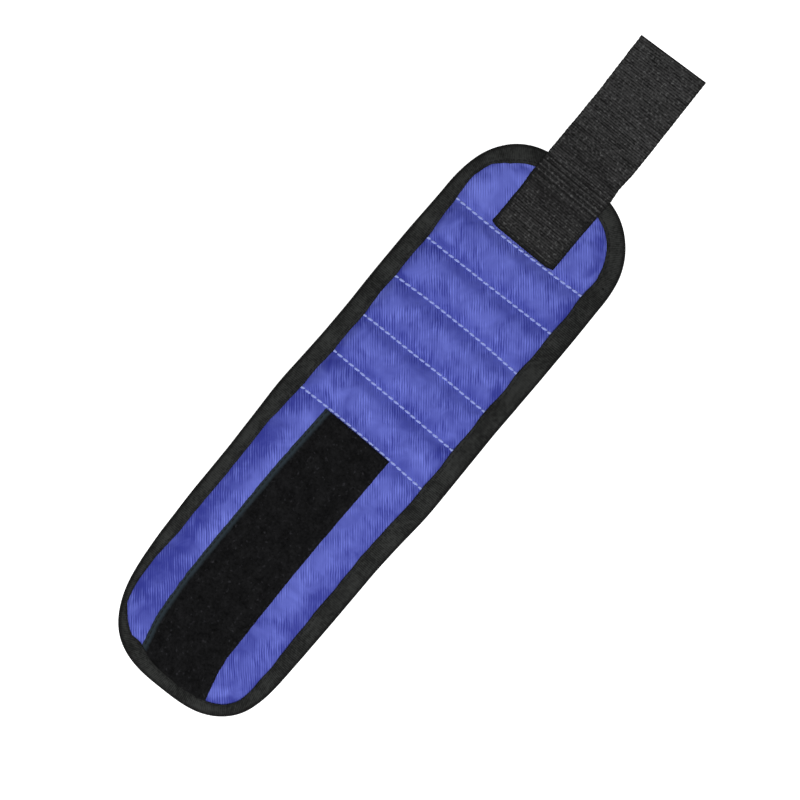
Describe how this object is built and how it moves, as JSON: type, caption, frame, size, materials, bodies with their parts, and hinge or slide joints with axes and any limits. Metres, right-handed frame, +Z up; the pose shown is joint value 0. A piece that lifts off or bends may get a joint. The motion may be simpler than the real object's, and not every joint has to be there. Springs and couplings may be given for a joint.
{
  "type": "magnetic wristband",
  "caption": "Flat padded cloth wristband with a row of magnet pockets that hold screws and nails, a loop panel at one end and a hook strap at the other.",
  "frame": {"origin": "on the ground under the middle of the whole length, with the band lying flat, skin side down", "axes": "+X along the band from the loop end to the strap's tip, +Y across it to the left side, +Z up through the outer face"},
  "size_m": [0.368, 0.09, 0.0056],
  "materials": {
    "face_cloth": "blue-violet oxford weave, matt",
    "spacer_lining": "black spacer mesh, matt",
    "binding": "black woven binding tape, matt",
    "loop_tape": "black brushed loop pile",
    "strap_webbing": "dark grey cross-ribbed weave",
    "hook_pile": "black nylon hooks",
    "magnet_nickel": "nickel-plated magnet"
  },
  "bodies": {
    "loop_end": {"loop_end_base": "face_cloth", "loop_end_lining": "spacer_lining", "loop_end_binding": "binding", "loop_tape": "loop_tape"},
    "pocket_1": {"pocket_1_cover": "face_cloth", "pocket_1_base": "face_cloth", "pocket_1_lining": "spacer_lining", "pocket_1_binding_left": "binding", "pocket_1_binding_right": "binding", "pocket_1_magnet_a": "magnet_nickel", "pocket_1_magnet_b": "magnet_nickel", "pocket_1_magnet_c": "magnet_nickel"},
    "pocket_2": {"pocket_2_cover": "face_cloth", "pocket_2_base": "face_cloth", "pocket_2_lining": "spacer_lining", "pocket_2_binding_left": "binding", "pocket_2_binding_right": "binding", "pocket_2_magnet_a": "magnet_nickel", "pocket_2_magnet_b": "magnet_nickel", "pocket_2_magnet_c": "magnet_nickel"},
    "pocket_3": {"pocket_3_cover": "face_cloth", "pocket_3_base": "face_cloth", "pocket_3_lining": "spacer_lining", "pocket_3_binding_left": "binding", "pocket_3_binding_right": "binding", "pocket_3_magnet_a": "magnet_nickel", "pocket_3_magnet_b": "magnet_nickel", "pocket_3_magnet_c": "magnet_nickel"},
    "pocket_4": {"pocket_4_cover": "face_cloth", "pocket_4_base": "face_cloth", "pocket_4_lining": "spacer_lining", "pocket_4_binding_left": "binding", "pocket_4_binding_right": "binding", "pocket_4_magnet_a": "magnet_nickel", "pocket_4_magnet_b": "magnet_nickel", "pocket_4_magnet_c": "magnet_nickel"},
    "pocket_5": {"pocket_5_cover": "face_cloth", "pocket_5_base": "face_cloth", "pocket_5_lining": "spacer_lining", "pocket_5_binding_left": "binding", "pocket_5_binding_right": "binding", "pocket_5_magnet_a": "magnet_nickel", "pocket_5_magnet_b": "magnet_nickel", "pocket_5_magnet_c": "magnet_nickel"},
    "strap_end": {"strap_end_base": "face_cloth", "strap_end_lining": "spacer_lining", "strap_end_binding": "binding", "strap_root": "strap_webbing"},
    "strap": {"strap_tail": "strap_webbing", "strap_hooks": "hook_pile"}
  },
  "joints": [
    {"name": "seam_1", "type": "hinge", "parent": "pocket_1", "child": "loop_end", "pos_m": [-0.0381, 0, 0.00135], "axis": [0, -1, 0], "range_deg": [-15, 30]},
    {"name": "seam_2", "type": "hinge", "parent": "pocket_2", "child": "pocket_1", "pos_m": [-0.0159, 0, 0.00135], "axis": [0, -1, 0], "range_deg": [-15, 30]},
    {"name": "seam_3", "type": "hinge", "parent": "pocket_3", "child": "pocket_2", "pos_m": [0.0063, 0, 0.00135], "axis": [0, -1, 0], "range_deg": [-15, 30]},
    {"name": "seam_4", "type": "hinge", "parent": "pocket_3", "child": "pocket_4", "pos_m": [0.0285, 0, 0.00135], "axis": [0, 1, 0], "range_deg": [-15, 30]},
    {"name": "seam_5", "type": "hinge", "parent": "pocket_4", "child": "pocket_5", "pos_m": [0.0507, 0, 0.00135], "axis": [0, 1, 0], "range_deg": [-15, 30]},
    {"name": "seam_6", "type": "hinge", "parent": "pocket_5", "child": "strap_end", "pos_m": [0.0729, 0, 0.00135], "axis": [0, 1, 0], "range_deg": [-15, 30]},
    {"name": "strap_bend", "type": "hinge", "parent": "strap_end", "child": "strap", "pos_m": [0.1192, 0, 0.0042], "axis": [0, 1, 0], "range_deg": [-90, 90]}
  ]
}
